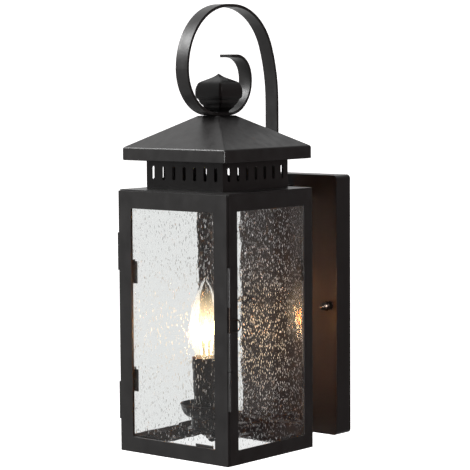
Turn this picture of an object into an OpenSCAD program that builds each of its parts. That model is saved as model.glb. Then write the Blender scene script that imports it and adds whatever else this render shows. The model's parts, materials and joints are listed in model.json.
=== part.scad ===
// Outdoor wall lantern: a glazed steel cage with a hinged front door, a vented
// gallery under a pyramid roof, a scrolled carrying strap and a wall backplate.
// Millimetres. Origin: centre of the backplate's rear plane, where the wall is.
// +Y runs into the wall, the door faces -Y, +Z is up.

/* [Cage] */
// Width of the cage, across the door
cage_w = 140; // [115:1:180]
// Depth of the cage behind the door
cage_d = 127; // [105:1:165]
// Height of the cage and of the door
cage_h = 258; // [210:1:320]
// Gap between the back of the cage and the backplate
wall_gap = 48; // [38:1:70]
// Thickness of the cage's sheet steel
panel_t = 1.5; // [1:0.1:2]
// Width of the side panels' front stile
side_front_stile = 12.5; // [9:0.5:18]
// Width of the side panels' rear stile, and of the back panel's stiles
rear_stile = 13.5; // [9:0.5:20]
// Height of the side panels' bottom rail
side_bottom_rail = 14; // [10:0.5:20]
// Height of the panels' top rail
top_rail = 16; // [10:0.5:22]
// Height of the back panel's bottom rail, which the supply tube passes
back_bottom_rail = 24; // [22:0.5:34]
// Width of the side panels' front flange, behind the door
front_flange = 8; // [6:0.5:9]
// Width of the ledge round the open bottom
ledge_w = 8; // [5:0.5:12]

/* [Door] */
// Thickness of the door frame
door_t = 2.6; // [2:0.1:4]
// Width of the door's stiles
door_stile = 16.3; // [13:0.1:22]
// Height of the door's bottom rail
door_bottom_rail = 15; // [11:0.5:20]
// Height of the door's top rail
door_top_rail = 17; // [11:0.5:22]
// Gap between the closed door and whatever doesn't move with it
door_gap = 0.4; // [0.3:0.05:0.8]

/* [Glass] */
// Thickness of the glass panes
glass_t = 3; // [2:0.5:4]
// How far a pane laps behind its frame
glass_lap = 5; // [3:0.5:5.5]
// Thickness of the clips that hold the panes
clip_t = 0.8; // [0.5:0.1:1.2]
// Length of a clip along the pane's edge
clip_l = 22; // [12:1:30]
// How far a clip shows inside the window
clip_show = 3.7; // [2:0.1:7]

/* [Hinges and latch] */
// Outer radius of a hinge knuckle
knuckle_r = 1.9; // [1.2:0.1:2.4]
// Radius of a hinge pin
hinge_pin_r = 0.7; // [0.5:0.05:0.9]
// Radial clearance of a pin or bolt that turns or slides
running_clear = 0.05; // [0.02:0.01:0.1]
// Length of a hinge
hinge_l = 37; // [24:1:46]
// Height of the lower hinge's middle above the cage's bottom
hinge_low_z = 50; // [35:1:60]
// Depth of the upper hinge's middle below the cage's top
hinge_top_drop = 60; // [40:1:70]
// Radius of the latch bolt's wire
bolt_wire_r = 0.75; // [0.6:0.05:1]
// Outer radius of the tubes the bolt runs in
guide_r = 1.5; // [1.2:0.1:2.2]
// Length of each bolt tube
guide_l = 37; // [24:1:40]
// Height of the latch handle's foot above the middle of the cage
latch_mid = -1; // [-20:1:20]
// Height of the latch handle's loop
handle_h = 13; // [10:0.5:16]
// Reach of the latch handle's loop
handle_l = 16.5; // [13:0.5:22]
// How far the bolt slides up
bolt_travel = 10; // [6:0.5:12]

/* [Backplate] */
// Width of the backplate
plate_w = 127; // [105:1:160]
// How much taller the backplate is than the cage
plate_extra = 7; // [0:1:30]
// Depth of the backplate
plate_d = 23; // [18:1:32]
// Radius of the backplate's corners
plate_r = 4; // [2:0.5:8]
// Thickness of the backplate's sheet
plate_t = 1.2; // [0.8:0.1:2]
// Distance between the two cap nuts
nut_span = 109; // [96:1:113]
// Radius of the mounting studs
stud_r = 2; // [1.5:0.1:2.5]
// Distance between the middles of the wall box slots
slot_span = 79.4; // [76:0.1:84]
// Length of a wall box slot
slot_l = 14; // [8:0.5:16]
// Width of a wall box slot
slot_w = 4.5; // [4:0.1:5.5]
// Width of the mounting bar
bar_h = 25; // [18:1:32]
// Thickness of the mounting bar
bar_t = 2.5; // [2:0.1:3.5]

/* [Arms] */
// Width and height of the upper arm
arm_w = 16; // [12:1:20]
// Drop of the upper arm's middle below the cage's top
arm_drop = 8.5; // [8:0.5:10]
// Radius of the supply tube, the lower arm
tube_r = 6; // [5:0.5:7]
// Wall of the supply tube
tube_wall = 1; // [0.8:0.1:1.5]
// Height of the supply tube's middle above the cage's bottom
tube_z = 14; // [12:0.5:16]

/* [Roof] */
// Width of the square gallery with the vent slots
gallery_w = 98.5; // [84:0.5:104]
// Height of the gallery
gallery_h = 28.5; // [24:0.5:36]
// Vent slots on each face of the gallery
slot_count = 7; // [5:1:7]
// Distance from one vent slot to the next
slot_pitch = 13.4; // [9:0.1:13.5]
// Width of a vent slot
vent_w = 4; // [3:0.5:6]
// Height of a vent slot
vent_h = 13.5; // [8:0.5:16]
// Height of a vent slot's foot above the gallery's foot
vent_z = 9.5; // [6:0.5:9.5]
// Width of the roof at its eaves
roof_w = 132; // [112:1:170]
// Height of the roof's straight fascia
fascia_h = 12.5; // [8:0.5:18]
// Height of the roof's slope
slope_h = 30.5; // [20:0.5:45]
// Width of the flat at the top of the roof
crown_w = 27; // [24:0.5:36]
// Thickness of the roof's sheet
roof_t = 1.2; // [0.8:0.1:1.6]
// How far the roof's middle stands behind the cage's middle
roof_back = 2; // [0:0.5:4]
// How far the finial stands behind the roof's middle
post_back = 3; // [0:0.5:4]

/* [Scroll strap] */
// Width of the strap
strap_w = 15; // [10:0.5:20]
// Thickness of the strap
strap_t = 3; // [2:0.5:4]
// Height of the loop's middle above the roof's flat
loop_z = 46; // [45.5:0.5:52]
// Radius of the loop's top
loop_r = 63; // [60:0.5:66]
// Radius of the strap's turn under the loop's front
toe_r = 45.5; // [42:0.5:45.5]
// Radius of the curl's lower turn
curl_r = 34.3; // [32:0.1:36]
// Radius of the curl's last turn
curl_end_r = 22.3; // [18:0.1:24]
// Length of the curl's straight end
curl_tail = 9; // [5:0.5:20]

/* [Finial] */
// Width of the finial across its flats
finial_w = 33.5; // [26:0.5:36]
// Height of the finial
finial_h = 38; // [30:0.5:42]
// Radius of the threaded rod that holds it
rod_r = 3; // [2:0.1:3.5]

/* [Lamp] */
// Distance of the lamp's axis behind the cage's front
lamp_back = 48; // [42:0.5:60]
// Radius of the disc the lamp stands on
disc_r = 19; // [17:0.5:24]
// Outer radius of the cup below the drip pan
cup_r = 15.4; // [15:0.1:18]
// Height of that cup
cup_h = 11; // [9:0.5:15]
// Radius of the drip pan's rim
pan_r = 26.5; // [20:0.1:30]
// Height of the drip pan
pan_h = 13.5; // [8:0.5:15]
// Outer radius of the candle sleeve at its top
sleeve_top_r = 14.2; // [13:0.1:15]
// Outer radius of the candle sleeve at its foot
sleeve_foot_r = 11.5; // [11.5:0.1:13]
// Height of the candle sleeve
sleeve_h = 58; // [53:0.5:62]
// Radius of the threaded nipple
nipple_r = 4.9; // [4.5:0.1:5.2]
// Largest radius of the bulb's glass
bulb_r = 16.5; // [14:0.5:18]
// Height of the bulb's glass
bulb_h = 91; // [75:1:95]

/* [Hidden] */
$fn = 48;

eps = 0.01;
black = "#2b2a2a";
cage_black = "#2f2c2b";

// Places along Y, from the wall forwards.
plate_face_y = -plate_d;
cage_back_y = plate_face_y - wall_gap;
cage_front_y = cage_back_y - cage_d;
door_in_y = cage_front_y - door_gap;
door_out_y = door_in_y - door_t;
roof_y = cage_back_y - cage_d / 2 + roof_back;
post_y = roof_y + post_back;
lamp_y = cage_front_y + lamp_back;

// Heights, from the cage's bottom up.
plate_h = cage_h + plate_extra;
cage_z = -plate_h / 2 - plate_extra / 2;
cage_top_z = cage_z + cage_h;
arm_z = cage_top_z - arm_drop;
supply_z = cage_z + tube_z;
top_plate_t = 1.2;
gallery_z = cage_top_z + top_plate_t;
roof_base_t = 1;
eaves_z = gallery_z + gallery_h;
slope_z = eaves_z + fascia_h;
crown_z = slope_z + slope_h;

// The lamp's stack.
bracket_t = 2;
bracket_z = supply_z + tube_r;
disc_t = 1.5;
disc_z = bracket_z + bracket_t;
cup_z = disc_z + disc_t;
pan_z = cup_z + cup_h;
pan_t = 1.2;
sleeve_z = pan_z + pan_t;
nipple_low_z = bracket_z - 4;
nipple_nut_r = 6.6;
nipple_nut_h = 3;
holder_r = 9.5;
holder_z = sleeve_z + nipple_nut_h + 2;
holder_h = 45;
holder_floor = 18;
shell_r = 7;
shell_z = holder_z + holder_floor;
cap_z = shell_z + 5;
cap_r = 5.85;
cap_h = 18;
cap_clear = 0.3;
bulb_z = cap_z + cap_h;

// The doors' hinges and latch.
half_w = cage_w / 2;
door_half = half_w - door_gap;
// The barrel stands a little proud of the cage's side.
hinge_out = 1.2;
hinge_x = -half_w - hinge_out;
hinge_y = cage_front_y - door_gap / 2;
hinge_zs = [cage_z + hinge_low_z, cage_top_z - hinge_top_drop];
leaf_t = 0.6;
leaf_w = 6;
notch_r = knuckle_r + 0.4;
knuckle_gap = 0.3;
latch_x = half_w + guide_r;
latch_y = door_out_y + door_t / 2;
latch_z = cage_z + cage_h / 2 + latch_mid;
handle_gap = handle_h + bolt_travel + 1.5;

bore_r = nipple_r - 1.6;
screw_r = 2;
screw_head_r = 3.6;

// ---- Shared shapes ----

// A rectangular frame in the XZ plane, from y = 0 to y = t, standing on z = 0.
module frame_xz(w, h, t, side, low, high) {
    difference() {
        translate([-w / 2, 0, 0]) cube([w, t, h]);
        translate([-w / 2 + side, -1, low]) cube([w - 2 * side, t + 2, h - low - high]);
    }
}

// The same with unequal stiles, in the YZ plane: x from 0 to t, y from 0 to d.
module frame_yz(d, h, t, front, rear, low, high) {
    difference() {
        cube([t, d, h]);
        translate([-1, front, low]) cube([t + 2, d - front - rear, h - low - high]);
    }
}

module tube(r, bore, h) {
    difference() {
        cylinder(r = r, h = h);
        translate([0, 0, -1]) cylinder(r = bore, h = h + 2);
    }
}

// A screw whose head sits on z = 0, its shank pointing down.
module screw(shank_r, head_r, head_h, length) {
    translate([0, 0, -length]) cylinder(r = shank_r, h = length + eps);
    difference() {
        cylinder(r = head_r, h = head_h);
        translate([-head_r, -0.4, head_h - 0.7]) cube([2 * head_r, 0.8, 1]);
    }
}

// A round wire swept along points: eight sides, one ring at each point.
function unit(v) = v / norm(v);
function heading(p, i) =
    i == 0 ? unit(p[1] - p[0])
    : i == len(p) - 1 ? unit(p[i] - p[i - 1])
    : unit(unit(p[i] - p[i - 1]) + unit(p[i + 1] - p[i]));
function aside(d) = unit(cross(d, abs(d[0]) > 0.9 ? [0, 1, 0] : [1, 0, 0]));
function ring(p, i, r, sides) =
    let (d = heading(p, i), a = aside(d), b = cross(d, a))
    [for (k = [0:sides - 1]) p[i] + r * (cos(360 * k / sides) * a + sin(360 * k / sides) * b)];

module wire(p, r, sides = 8) {
    n = len(p);
    polyhedron(
        points = [for (i = [0:n - 1]) each ring(p, i, r, sides)],
        faces = concat(
            [[for (k = [0:sides - 1]) k]],
            [for (i = [0:n - 2], k = [0:sides - 1])
                let (a = i * sides + k, b = i * sides + (k + 1) % sides)
                [a, a + sides, b + sides, b]],
            [[for (k = [sides - 1:-1:0]) (n - 1) * sides + k]]
        ),
        convexity = 4);
}

// A pane clip: a foot on the frame, a step over the pane's edge and a tongue on
// the pane. It lies along X, with the pane's edge at y = 0 and the pane at y > 0.
module pane_clip(pane, reach) {
    foot = 2;
    translate([-clip_l / 2, -foot, 0]) {
        cube([clip_l, foot - 0.3, pane + clip_t]);
        translate([0, 0, pane]) cube([clip_l, foot + reach, clip_t]);
    }
}

// ---- Backplate and what fastens it ----

module backplate() {
    color(black) difference() {
        rotate([90, 0, 0]) linear_extrude(plate_d)
            rounded_rect(plate_w, plate_h, plate_r);
        translate([0, 1, 0]) rotate([90, 0, 0]) linear_extrude(plate_d - plate_t + 1)
            rounded_rect(plate_w - 2 * plate_t, plate_h - 2 * plate_t, plate_r - plate_t / 2);
        for (s = [-1, 1]) translate([s * nut_span / 2, 1, 0])
            rotate([90, 0, 0]) cylinder(r = stud_r + 0.5, h = plate_d + 2);
        translate([0, 1, supply_z]) rotate([90, 0, 0]) cylinder(r = tube_r + 0.1, h = plate_d + 2);
        translate([0, 1, arm_z]) rotate([90, 0, 0]) cylinder(r = screw_r + 0.2, h = plate_d + 2);
    }
}

// Four quarter rounds joined by two bars: exact corners without an offset.
module rounded_rect(w, h, r) {
    square([w - 2 * r, h], center = true);
    square([w, h - 2 * r], center = true);
    for (x = [-1, 1], y = [-1, 1])
        translate([x * (w / 2 - r), y * (h / 2 - r)]) circle(r = r);
}

module mounting_bar() {
    bar_l = nut_span + 8;
    color("silver") difference() {
        translate([-bar_l / 2, -bar_t, -bar_h / 2]) cube([bar_l, bar_t, bar_h]);
        for (s = [-1, 1]) {
            translate([s * nut_span / 2, 1, 0])
                rotate([90, 0, 0]) cylinder(r = stud_r, h = bar_t + 2);
            for (e = [-1, 1]) translate([s * slot_span / 2 + e * (slot_l - slot_w) / 2, 1, 0])
                rotate([90, 0, 0]) cylinder(r = slot_w / 2, h = bar_t + 2);
            translate([s * slot_span / 2 - (slot_l - slot_w) / 2, -bar_t - 1, -slot_w / 2])
                cube([slot_l - slot_w, bar_t + 2, slot_w]);
        }
        translate([20, 1, -6]) rotate([90, 0, 0]) cylinder(r = screw_r, h = bar_t + 2);
    }
}

module mounting_studs() {
    color("silver") for (s = [-1, 1]) translate([s * nut_span / 2, 0, 0])
        rotate([90, 0, 0]) cylinder(r = stud_r, h = plate_d + 8);
}

// A ball knob with a collar at the plate and a small ribbed tip.
module cap_nuts() {
    color("#3a3230") for (s = [-1, 1]) translate([s * nut_span / 2, plate_face_y, 0])
        rotate([90, 0, 0]) difference() {
            union() {
                cylinder(r = 4.6, h = 2);
                translate([0, 0, 5.4]) sphere(r = 5);
                translate([0, 0, 9]) cylinder(r = 2.4, h = 5.6);
                for (rib = [[9, 3.6], [11, 3.3], [12.9, 2.6]])
                    translate([0, 0, rib[0]]) cylinder(r = rib[1], h = 1.5);
            }
            translate([0, 0, -1]) cylinder(r = stud_r, h = 9);
            translate([0, 0, -3]) cylinder(r = 6, h = 3);
        }
}

module ground_screw() {
    color("limegreen") translate([20, -bar_t, -6]) rotate([90, 0, 0])
        screw(screw_r, screw_head_r, 2, bar_t);
}

// ---- Arms ----

module upper_arm() {
    wall = 1.5;
    end = 2.5;
    color(black) translate([0, cage_back_y, arm_z]) difference() {
        translate([-arm_w / 2, 0, -arm_w / 2]) cube([arm_w, wall_gap, arm_w]);
        translate([-arm_w / 2 + wall, end, -arm_w / 2 + wall])
            cube([arm_w - 2 * wall, wall_gap - 2 * end, arm_w - 2 * wall]);
        translate([0, wall_gap + 1, 0]) rotate([90, 0, 0])
            cylinder(r = screw_r, h = wall_gap + 2);
    }
}

module arm_screws() {
    color("silver") {
        translate([0, plate_face_y + plate_t, arm_z]) rotate([-90, 0, 0])
            screw(screw_r, screw_head_r, 2.4, 8);
        translate([0, cage_back_y - panel_t, arm_z]) rotate([90, 0, 0])
            screw(screw_r, screw_head_r, 2.4, 8);
    }
}

tube_front_y = lamp_y + nipple_nut_r * cos(30) + 0.2;
tube_rear_y = plate_face_y + plate_t + 8;

module supply_tube() {
    color(black) translate([0, tube_rear_y, supply_z]) rotate([90, 0, 0])
        tube(tube_r, tube_r - tube_wall, tube_rear_y - tube_front_y);
}

// A ring nut on each side of the backplate's front.
module tube_nuts() {
    nut_t = 3;
    color("#3a3636") for (y = [plate_face_y + plate_t + nut_t, plate_face_y])
        translate([0, y, supply_z]) rotate([90, 0, 0]) difference() {
            cylinder(r = tube_r + 3.5, h = nut_t, $fn = 6);
            translate([0, 0, -1]) cylinder(r = tube_r, h = nut_t + 2);
        }
}

// ---- Cage ----

module cage_side() {
    front = side_front_stile;
    difference() {
        union() {
            translate([-half_w, cage_front_y, cage_z])
                frame_yz(cage_d, cage_h, panel_t, front, rear_stile, side_bottom_rail, top_rail);
            translate([-half_w, cage_front_y, cage_z]) cube([front_flange, panel_t, cage_h]);
        }
        children();
    }
}

module cage_left() {
    color(cage_black) cage_side() {
        for (z = hinge_zs) translate([hinge_x, hinge_y, z - hinge_l / 2 - knuckle_gap]) {
            cylinder(r = notch_r, h = hinge_l + 2 * knuckle_gap);
            hinge_pocket();
        }
    }
}

// The frame leaf's pocket in the side panel's front flange.
module hinge_pocket() {
    translate([0, -1, 0]) cube([knuckle_r + 0.6 + leaf_w, 1 + door_gap / 2 + leaf_t,
        hinge_l + 2 * knuckle_gap]);
}

module cage_right() {
    color(cage_black) mirror([1, 0, 0]) cage_side() {}
}

module cage_back() {
    inner_w = cage_w - 2 * panel_t;
    color(cage_black) difference() {
        translate([0, cage_back_y - panel_t, cage_z])
            frame_xz(inner_w, cage_h, panel_t, rear_stile, back_bottom_rail, top_rail);
        translate([0, cage_back_y + 1, supply_z]) rotate([90, 0, 0])
            cylinder(r = tube_r, h = panel_t + 2);
        translate([0, cage_back_y + 1, arm_z]) rotate([90, 0, 0])
            cylinder(r = screw_r, h = panel_t + 2);
    }
}

// The ledge round the open bottom, with a low lip behind the door.
module bottom_ledge() {
    w = cage_w - 2 * panel_t;
    d = cage_d - 2 * panel_t;
    lip = 7;
    color(cage_black) translate([0, cage_front_y + panel_t, cage_z]) {
        difference() {
            translate([-w / 2, 0, 0]) cube([w, d, panel_t]);
            translate([-w / 2 + ledge_w, ledge_w, -1])
                cube([w - 2 * ledge_w, d - 2 * ledge_w, panel_t + 2]);
        }
        translate([-w / 2, 0, 0]) cube([w, panel_t, lip]);
    }
}

vent_hole_w = gallery_w - 24;

module top_plate() {
    lip = 7;
    color(cage_black) difference() {
        union() {
            translate([-half_w, cage_front_y, cage_top_z]) cube([cage_w, cage_d, top_plate_t]);
            translate([-half_w + front_flange, cage_front_y, cage_top_z - lip])
                cube([cage_w - 2 * front_flange, panel_t, lip + eps]);
        }
        translate([-vent_hole_w / 2, roof_y - vent_hole_w / 2, cage_top_z - 1])
            cube([vent_hole_w, vent_hole_w, top_plate_t + 2]);
        gallery_screw_holes(cage_top_z - 1, top_plate_t + 2);
    }
}

// ---- Glass ----

side_pane_d = cage_d - side_front_stile - rear_stile + 2 * glass_lap;
side_pane_y = cage_front_y + side_front_stile - glass_lap;
side_pane_z = cage_z + side_bottom_rail - glass_lap;
side_pane_h = cage_h - side_bottom_rail - top_rail + 2 * glass_lap;
back_pane_w = cage_w - 2 * panel_t - 2 * rear_stile + 2 * glass_lap;

// The back pane's lap stops short of the supply tube and of the arm's screw head.
pane_clear = 0.4;
back_low_lap = back_bottom_rail - tube_z - tube_r - pane_clear;
back_high_lap = top_rail - arm_drop - screw_head_r - pane_clear;
back_pane_z = cage_z + back_bottom_rail - back_low_lap;
back_pane_h = cage_h - back_bottom_rail - top_rail + back_low_lap + back_high_lap;
door_pane_w = 2 * door_half - 2 * door_stile + 2 * glass_lap;
door_pane_z = cage_z + door_bottom_rail - glass_lap;
door_pane_h = cage_h - door_bottom_rail - door_top_rail + 2 * glass_lap;

module glass_left() {
    color("lightcyan", 0.4) translate([-half_w + panel_t, side_pane_y, side_pane_z])
        cube([glass_t, side_pane_d, side_pane_h]);
}

module glass_right() {
    mirror([1, 0, 0]) glass_left();
}

module glass_back() {
    color("lightcyan", 0.4)
        translate([-back_pane_w / 2, cage_back_y - panel_t - glass_t, back_pane_z])
        cube([back_pane_w, glass_t, back_pane_h]);
}

// Clips on one upright pane edge, at two heights, for a pane in the XZ plane
// whose frame lies at y = 0 and whose pane lies at y > 0. The edge is x = 0. The
// side panes' rear clips are short ones that stay behind the stile.
module edge_clips(reach) {
    for (z = [cage_z + clip_low, cage_z + clip_high]) translate([0, 0, z])
        rotate([0, -90, -90]) pane_clip(glass_t, reach);
}

module foot_clip(x) {
    translate([x, 0, 0]) rotate([90, 0, 0]) mirror([0, 0, 1])
        pane_clip(glass_t, glass_lap + clip_show - foot_clip_less);
}

clip_low = 71;
hidden_clip_less = 0.6;
foot_clip_less = 1.5;
clip_high = cage_h - 80;

module side_clips() {
    translate([-half_w + panel_t, 0, 0]) rotate([0, 0, -90]) {
        translate([-side_pane_y, 0, 0]) mirror([1, 0, 0])
            edge_clips(glass_lap + clip_show);
        translate([-side_pane_y - side_pane_d, 0, 0]) edge_clips(glass_lap - hidden_clip_less);
        translate([-side_pane_y - side_pane_d / 2, 0, side_pane_z])
            foot_clip(-side_pane_d / 4);
    }
}

module glass_clips() {
    color(cage_black) {
        side_clips();
        mirror([1, 0, 0]) side_clips();
        translate([0, cage_back_y - panel_t, 0]) rotate([0, 0, 180]) {
            for (m = [0, 1]) mirror([m, 0, 0]) translate([-back_pane_w / 2, 0, 0])
                edge_clips(glass_lap + clip_show);
            translate([0, 0, back_pane_z]) foot_clip(back_pane_w / 4);
        }
    }
}

// ---- Gallery and roof ----

gallery_flange = 9;
gallery_inner_w = gallery_w - 2 * roof_t;
gallery_screw_span = gallery_inner_w - gallery_flange;

// One wall of the gallery, facing -Y, with round-ended vent slots.
module gallery_wall(length, turn) {
    color(black) translate([0, roof_y, gallery_z]) rotate([0, 0, turn])
        translate([0, roof_t - gallery_w / 2, 0]) rotate([90, 0, 0]) linear_extrude(roof_t)
        difference() {
            translate([-length / 2, 0]) square([length, gallery_h]);
            for (i = [0:slot_count - 1])
                translate([(i - (slot_count - 1) / 2) * slot_pitch, vent_z]) vent_slot();
        }
}

module vent_slot() {
    r = vent_w / 2;
    translate([-r, r]) square([vent_w, vent_h - vent_w]);
    for (z = [r, vent_h - r]) translate([0, z]) circle(r = r);
}

module gallery_front() {
    gallery_wall(gallery_w, 0);
}

module gallery_back() {
    gallery_wall(gallery_w, 180);
}

module gallery_left() {
    gallery_wall(gallery_inner_w, -90);
}

module gallery_right() {
    gallery_wall(gallery_inner_w, 90);
}

// The square rims welded inside the walls at their foot and head, for the screws.
module gallery_rims() {
    hole = gallery_inner_w - 2 * gallery_flange;
    color(black) difference() {
        for (z = [gallery_z, gallery_z + gallery_h - roof_t]) translate([0, roof_y, z]) difference() {
            translate([-gallery_inner_w / 2, -gallery_inner_w / 2, 0])
                cube([gallery_inner_w, gallery_inner_w, roof_t]);
            translate([-hole / 2, -hole / 2, -1]) cube([hole, hole, roof_t + 2]);
        }
        gallery_screw_holes(gallery_z - 1, gallery_h + 2);
    }
}

module gallery_corners() {
    for (x = [-1, 1], y = [-1, 1])
        translate([x * gallery_screw_span / 2, roof_y + y * gallery_screw_span / 2, 0]) children();
}

module gallery_screw_holes(z, h) {
    gallery_corners() translate([0, 0, z]) cylinder(r = 1.5, h = h);
}

module gallery_screws() {
    color("silver") gallery_corners() {
        translate([0, 0, cage_top_z]) rotate([180, 0, 0]) screw(1.5, 2.8, 1.8, 5);
        translate([0, 0, eaves_z - roof_t]) rotate([180, 0, 0]) screw(1.5, 2.8, 1.8, 5);
    }
}

// The plate that closes the eaves, with a vent hole and the rod's crosspiece.
module roof_base() {
    w = roof_w - 2 * roof_t;
    vent = gallery_w - 24;
    bridge = 20;
    color(black) translate([0, 0, eaves_z]) difference() {
        translate([-w / 2, roof_y - w / 2, 0]) cube([w, w, roof_base_t]);
        difference() {
            translate([-vent / 2, roof_y - vent / 2, -1]) cube([vent, vent, roof_base_t + 2]);
            translate([-vent, post_y - bridge / 2, -2]) cube([2 * vent, bridge, roof_base_t + 4]);
        }
        translate([0, post_y, -1]) cylinder(r = rod_r + 0.2, h = roof_base_t + 2);
        translate([0, 0, -eaves_z]) gallery_screw_holes(eaves_z - 1, roof_base_t + 2);
    }
}

// Two square slabs hulled: a four-sided roof shell.
module square_taper(w1, w2, h) {
    hull() {
        translate([-w1 / 2, -w1 / 2, 0]) cube([w1, w1, eps]);
        translate([-w2 / 2, -w2 / 2, h - eps]) cube([w2, w2, eps]);
    }
}

module roof() {
    inner = roof_w - 2 * roof_t;
    color(black) translate([0, roof_y, eaves_z]) difference() {
        union() {
            translate([-roof_w / 2, -roof_w / 2, 0]) cube([roof_w, roof_w, fascia_h]);
            translate([0, 0, fascia_h]) square_taper(roof_w, crown_w, slope_h);
        }
        translate([-inner / 2, -inner / 2, -1]) cube([inner, inner, fascia_h + 1]);
        translate([0, 0, fascia_h - eps]) square_taper(inner, crown_w - 2 * roof_t, slope_h - 2);
        translate([0, post_back, fascia_h]) cylinder(r = rod_r + 0.2, h = slope_h + 1);
    }
}

// ---- Scroll strap ----

// The strap's outer face in the YZ plane, as arcs that meet on a tangent.
// Points are [y, z] from the roof's middle at the roof's flat.
function arc(c, r, a1, a2, n) =
    [for (i = [0:n]) let (a = a1 + (a2 - a1) * i / n) [c[0] + r * cos(a), c[1] + r * sin(a)]];

// Where the loop meets the long bend of its back, above the horizontal.
loop_join_a = 20;
loop_back_y = 18;
loop_front_y = 11;
strap_back_y = 87;
back_bend_r = (strap_back_y - loop_back_y - loop_r * cos(loop_join_a)) / (1 - cos(loop_join_a));
back_bend_z = loop_z + loop_r * sin(loop_join_a) - back_bend_r * sin(loop_join_a);
toe_y = loop_front_y - loop_r + toe_r;
curl_y = post_back + 8;
curl_join_a = 15;
curl_end_y = curl_y + (curl_r - curl_end_r) * cos(curl_join_a);
curl_end_z = curl_r + (curl_r - curl_end_r) * sin(curl_join_a);
strap_foot_z = arm_z + arm_w / 2 - crown_z;

function strap_line(inset) = concat(
    [[strap_back_y - inset, strap_foot_z]],
    arc([strap_back_y - back_bend_r, back_bend_z], back_bend_r - inset, 0, loop_join_a, 6),
    arc([loop_back_y, loop_z], loop_r - inset, loop_join_a + 4, 90, 14),
    arc([loop_front_y, loop_z], loop_r - inset, 90, 180, 18),
    arc([toe_y, toe_r], toe_r - inset, 180, 270, 18),
    arc([curl_y, curl_r], curl_r - inset, 270, 360 + curl_join_a, 18),
    arc([curl_end_y, curl_end_z], curl_end_r - inset, 360 + curl_join_a + 5, 450, 10),
    [[curl_end_y - curl_tail, curl_end_z + curl_end_r - inset]]);

function reversed(p) = [for (i = [len(p) - 1:-1:0]) p[i]];

module scroll_strap() {
    color(black) difference() {
        translate([-strap_w / 2, roof_y, crown_z]) rotate([90, 0, 90]) linear_extrude(strap_w)
            polygon(concat(strap_line(0), reversed(strap_line(strap_t))));
        translate([0, post_y, crown_z - 1]) cylinder(r = rod_r + 0.2, h = strap_t + 3);
    }
}

// ---- Finial ----

// Square tiers from the strap up, as heights in a 39 mm finial and shares of the
// width: a stepped foot, a bowl, the band and the ogee cap.
finial_tiers = [[0, 0.42], [1.5, 0.42], [6, 0.66], [7, 0.66], [11, 0.84], [12.3, 0.84],
    [15, 0.95], [17.5, 1], [23.5, 1], [26.5, 0.95], [29.5, 0.875], [32, 0.66], [35, 0.3],
    [39, 0.02]];
finial_k = finial_h / 39;
finial_bore = 17;

module finial() {
    color(black) translate([0, post_y, crown_z + strap_t]) difference() {
        for (i = [0:len(finial_tiers) - 2])
            let (a = finial_tiers[i], b = finial_tiers[i + 1])
            translate([0, 0, a[0] * finial_k])
            tier(a[1] * finial_w, b[1] * finial_w, (b[0] - a[0]) * finial_k + eps);
        translate([0, 0, -1]) cylinder(r = rod_r, h = finial_bore);
    }
}

// A straight-sided square frustum, as one polyhedron.
module tier(w1, w2, h) {
    a = w1 / 2;
    b = w2 / 2;
    polyhedron(
        points = [[-a, -a, 0], [a, -a, 0], [a, a, 0], [-a, a, 0],
            [-b, -b, h], [b, -b, h], [b, b, h], [-b, b, h]],
        faces = [[0, 1, 2, 3], [7, 6, 5, 4], [0, 4, 5, 1], [1, 5, 6, 2], [2, 6, 7, 3], [3, 7, 4, 0]]);
}

rod_low_z = eaves_z - 6;

module finial_rod() {
    color("silver") translate([0, post_y, rod_low_z])
        cylinder(r = rod_r, h = crown_z + strap_t + finial_bore - 1 - rod_low_z);
}

module finial_nut() {
    color("silver") translate([0, post_y, 0]) {
        translate([0, 0, eaves_z - 1]) tube(8, rod_r, 1);
        translate([0, 0, eaves_z - 5]) difference() {
            cylinder(r = 5.8, h = 4, $fn = 6);
            translate([0, 0, -1]) cylinder(r = rod_r, h = 6);
        }
    }
}

// ---- Lamp ----

module lamp_bracket() {
    w = 18;
    color(black) difference() {
        translate([-w / 2, lamp_y - w / 2, bracket_z]) cube([w, w / 2 + 50, bracket_t]);
        translate([0, lamp_y, bracket_z - 1]) cylinder(r = nipple_r, h = bracket_t + 2);
    }
}

module lamp_disc() {
    color(black) translate([0, lamp_y, disc_z]) tube(disc_r, nipple_r, disc_t);
}

module lamp_cup() {
    wall = 1.2;
    color(black) translate([0, lamp_y, cup_z]) difference() {
        cylinder(r = cup_r, h = cup_h);
        translate([0, 0, -1]) cylinder(r = cup_r - wall, h = cup_h - wall + 1);
        cylinder(r = nipple_r, h = cup_h + 1);
    }
}

// The drip pan: a flat floor and a wall that curves out to the rim.
module drip_pan() {
    flare = [for (i = [0:8]) let (a = 90 * i / 8)
        [cup_r + (pan_r - cup_r) * sin(a), pan_h * (1 - cos(a))]];
    color(black) translate([0, lamp_y, pan_z]) rotate_extrude()
        polygon(concat([[nipple_r, 0]], flare,
            [for (i = [8:-1:0]) flare[i] + [-pan_t * (0.3 + 0.7 * i / 8), pan_t * (1 - i / 8)]],
            [[nipple_r, pan_t]]));
}

module nipple() {
    top = holder_z + 9;
    color("#3a3636") translate([0, lamp_y, nipple_low_z])
        tube(nipple_r, bore_r, top - nipple_low_z);
}

module nipple_nuts() {
    color("#3a3636") for (z = [bracket_z - nipple_nut_h, sleeve_z])
        translate([0, lamp_y, z]) difference() {
            cylinder(r = nipple_nut_r, h = nipple_nut_h, $fn = 6);
            translate([0, 0, -1]) cylinder(r = nipple_r, h = nipple_nut_h + 2);
        }
}

module candle_sleeve() {
    wall = 1;
    color("#35322f") translate([0, lamp_y, sleeve_z]) rotate_extrude() polygon([
        [sleeve_foot_r - wall, 0], [sleeve_foot_r, 0], [sleeve_top_r, sleeve_h],
        [sleeve_top_r - wall, sleeve_h]]);
}

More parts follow.
